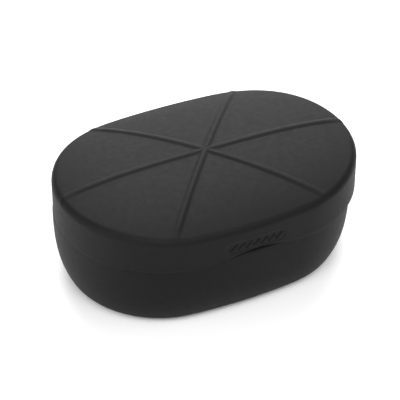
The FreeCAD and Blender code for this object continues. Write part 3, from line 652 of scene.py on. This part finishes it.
SHELL_COLOUR = (0.003, 0.003, 0.003)
INNER_COLOUR = (0.02, 0.02, 0.021)

MAKERS = {
    "soft_touch_shell": lambda: soft_touch("soft_touch_charcoal", SHELL_COLOUR),
    "inner_plastic": lambda: moulded("inner_black_plastic", INNER_COLOUR, 0.34, 0.5),
    "soft_pad": lambda: foam("dark_foam", (0.03, 0.03, 0.032)),
    "hinge_steel": lambda: metal("brushed_hinge_steel", (0.36, 0.36, 0.38), 0.34),
    "screw_steel": lambda: metal("zinc_screw", (0.55, 0.55, 0.58), 0.3, (6, 6, 1)),
    "magnet_nickel": lambda: metal("nickel_plate", (0.66, 0.64, 0.6), 0.16, (3, 3, 3), 0.3),
    "chip_plastic": lambda: moulded("chip_epoxy", (0.018, 0.018, 0.02), 0.45, 1.2),
    "switch_metal": lambda: metal("switch_cover", (0.6, 0.6, 0.58), 0.32, (8, 1, 1)),
    "circuit_board": lambda: circuit_board("solder_mask", (0.01, 0.06, 0.03)),
    "cell_foil": lambda: foil("cell_foil_wrap", (0.6, 0.61, 0.62)),
    "wire_red": lambda: moulded("wire_sleeve", (0.4, 0.02, 0.02), 0.4, 0.4),
    "port_steel": lambda: metal("port_sleeve_steel", (0.55, 0.55, 0.57), 0.25, (1, 1, 10)),
    "port_plastic": lambda: moulded("port_tongue_plastic", (0.015, 0.015, 0.016), 0.5, 1.0),
    "bezel_plastic": lambda: moulded("port_bezel_plastic", (0.018, 0.018, 0.019), 0.22, 0.3),
    "button_plastic": lambda: moulded("button_grey_plastic", (0.07, 0.07, 0.074), 0.4, 0.8),
    "light_body": lambda: moulded("light_emitter_body", (0.6, 0.6, 0.5), 0.35, 0.4),
    "light_pipe_clear": lambda: clear_plastic("light_guide", (0.7, 0.74, 0.74)),
    "ribbon_film": lambda: moulded("ribbon_film_amber", (0.32, 0.13, 0.02), 0.3, 0.3),
    "block_plastic": lambda: moulded("contact_block_plastic", (0.03, 0.03, 0.032), 0.5, 1.0),
    "contact_gold": lambda: metal("contact_gold_plate", (0.83, 0.6, 0.25), 0.2, (3, 3, 3), 0.3),
}
materials = {slot: make() for slot, make in MAKERS.items()}
slot_of = {entry["node"]: entry["material_slot"] for entry in frame["record"]["subparts"]}


def finish_piece(piece, body, slot, *nodes):
    """Material, body and stand-in for one new piece."""
    piece.data.materials.clear()
    piece.data.materials.append(materials[slot])
    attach(piece, body)
    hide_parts(*nodes)
    return piece


def cut_port(shell):
    """Opens the charging port through the base shell's rear wall."""
    low, high = corners("port_bezel")
    radius = (high.z - low.z) / 2
    middle = (high.z + low.z) / 2
    half = (high.x - low.x) / 2 - radius
    turn = full_turn(48)
    x = radius * np.cos(turn) + half * np.sign(np.cos(turn))
    z = middle + radius * np.sin(turn)
    ends = (low.y - CUTTER_SPARE, high.y + CUTTER_SPARE)
    rows = [np.stack([x, np.full_like(x, y), z], 1) for y in ends]
    cutter = ring_mesh("port_cutter", rows)
    hole = shell.modifiers.new("port", "BOOLEAN")
    hole.operation = "DIFFERENCE"
    hole.solver = "EXACT"
    hole.object = cutter
    graph = bpy.context.evaluated_depsgraph_get()
    mesh = bpy.data.meshes.new_from_object(shell.evaluated_get(graph))
    shell.modifiers.clear()
    shell.data = mesh
    bpy.data.objects.remove(cutter)
    mesh.shade_smooth()
    mesh.set_sharp_from_angle(angle=SHARP_ANGLE)


# ------------------------------------------------------------------ the object

lid = lid_outer_shell()
lid.data.transform(Matrix.Translation((0, LID_Y * MM, 0)))
finish_piece(lid, "lid", "soft_touch_shell", "lid_outer_shell")
base = base_outer_shell()
base.data.transform(Matrix.Translation((0, BASE_Y * MM, 0)))
cut_port(base)
finish_piece(base, "base", "soft_touch_shell", "base_outer_shell")

for pad in ("lid_pad_left", "lid_pad_right"):
    piece = finish_piece(foam_pad(pad, lid_ceiling, -1), "lid", "soft_pad", pad)
cell_pad = foam_pad("battery_foam_pad", lambda x, y: np.full_like(x, FLOOR), 1)
finish_piece(cell_pad, "base", "soft_pad", "battery_foam_pad")

for name, node in frame["nodes"].items():
    node.data.materials.clear()
    node.data.materials.append(materials[slot_of[name]])


# ------------------------------------------------------------------ stage, light and camera


# Metres and degrees, with lens and sensor in millimetres and the shift as a share of the sensor.
AIM = Vector((0, BASE_Y * MM, 0.0138))
CAMERA_AZIMUTH = -25.69
CAMERA_ELEVATION = 37.38
CAMERA_DISTANCE = 0.378
CAMERA_SHIFT = (-0.00596, -0.00396)
LENS = 160.31
SENSOR = 36.0
FLOOR_REACH = 3.0
FLOOR_GAP = 0.00005
LIGHT_SIZE = 0.8
LIGHT_DISTANCE = 0.9


def floor():
    """White floor just under the case."""
    mesh = bpy.data.meshes.new("floor")
    ways = ((-1, -1), (1, -1), (1, 1), (-1, 1))
    points = [(x * FLOOR_REACH, y * FLOOR_REACH, 0) for x, y in ways]
    mesh.from_pydata(points, [], [(0, 1, 2, 3)])
    plane = bpy.data.objects.new("floor", mesh)
    plane.location.z = -FLOOR_GAP
    bpy.context.scene.collection.objects.link(plane)
    nodes = Nodes("floor_white")
    nodes.colour(nodes.noise(scale=3, detail=2, roughness=0.5), (0.93, 0.93, 0.93), (0.94, 0.94, 0.94))
    nodes.set(Roughness=0.8, Specular_IOR_Level=0.1)
    mesh.materials.append(nodes.material)


def direction(azimuth, elevation):
    """Unit vector from the object towards a place round it, both angles in degrees."""
    around, up = math.radians(azimuth), math.radians(elevation)
    return Vector((math.sin(around) * math.cos(up), -math.cos(around) * math.cos(up), math.sin(up)))


def softbox(name, azimuth, elevation, power):
    """Round soft light aimed at the case, its azimuth counted from the camera's."""
    light = bpy.data.lights.new(name, "AREA")
    light.shape = "DISK"
    light.size = LIGHT_SIZE
    light.energy = power
    lamp = bpy.data.objects.new(name, light)
    away = direction(CAMERA_AZIMUTH + azimuth, elevation)
    lamp.location = AIM + away * LIGHT_DISTANCE
    lamp.rotation_euler = away.to_track_quat("Z", "Y").to_euler()
    lamp.visible_camera = False
    bpy.context.scene.collection.objects.link(lamp)


def surroundings(strength):
    """Even white light from all round."""
    world = bpy.data.worlds.new("studio")
    world.use_nodes = True
    back = world.node_tree.nodes["Background"]
    back.inputs["Color"].default_value = (1, 1, 1, 1)
    back.inputs["Strength"].default_value = strength
    bpy.context.scene.world = world


def camera():
    """Camera fitted to the photograph's view."""
    back = direction(CAMERA_AZIMUTH, CAMERA_ELEVATION)
    data = bpy.data.cameras.new("camera")
    data.lens = LENS
    data.sensor_width = SENSOR
    data.shift_x, data.shift_y = CAMERA_SHIFT
    data.clip_start = 0.01
    data.clip_end = 20.0
    cam = bpy.data.objects.new("camera", data)
    cam.location = AIM + CAMERA_DISTANCE * back
    cam.rotation_euler = back.to_track_quat("Z", "Y").to_euler()
    bpy.context.scene.collection.objects.link(cam)
    bpy.context.scene.camera = cam


floor()
surroundings(0.4)
softbox("rear_low", 180, 20, 2.3)
softbox("rear_high", 180, 50, 7.9)
softbox("left_low", 300, 20, 3.9)
softbox("right_high", 60, 50, 2.5)
softbox("front_high", 0, 50, 5.6)
camera()
bpy.context.scene.view_settings.view_transform = "Standard"
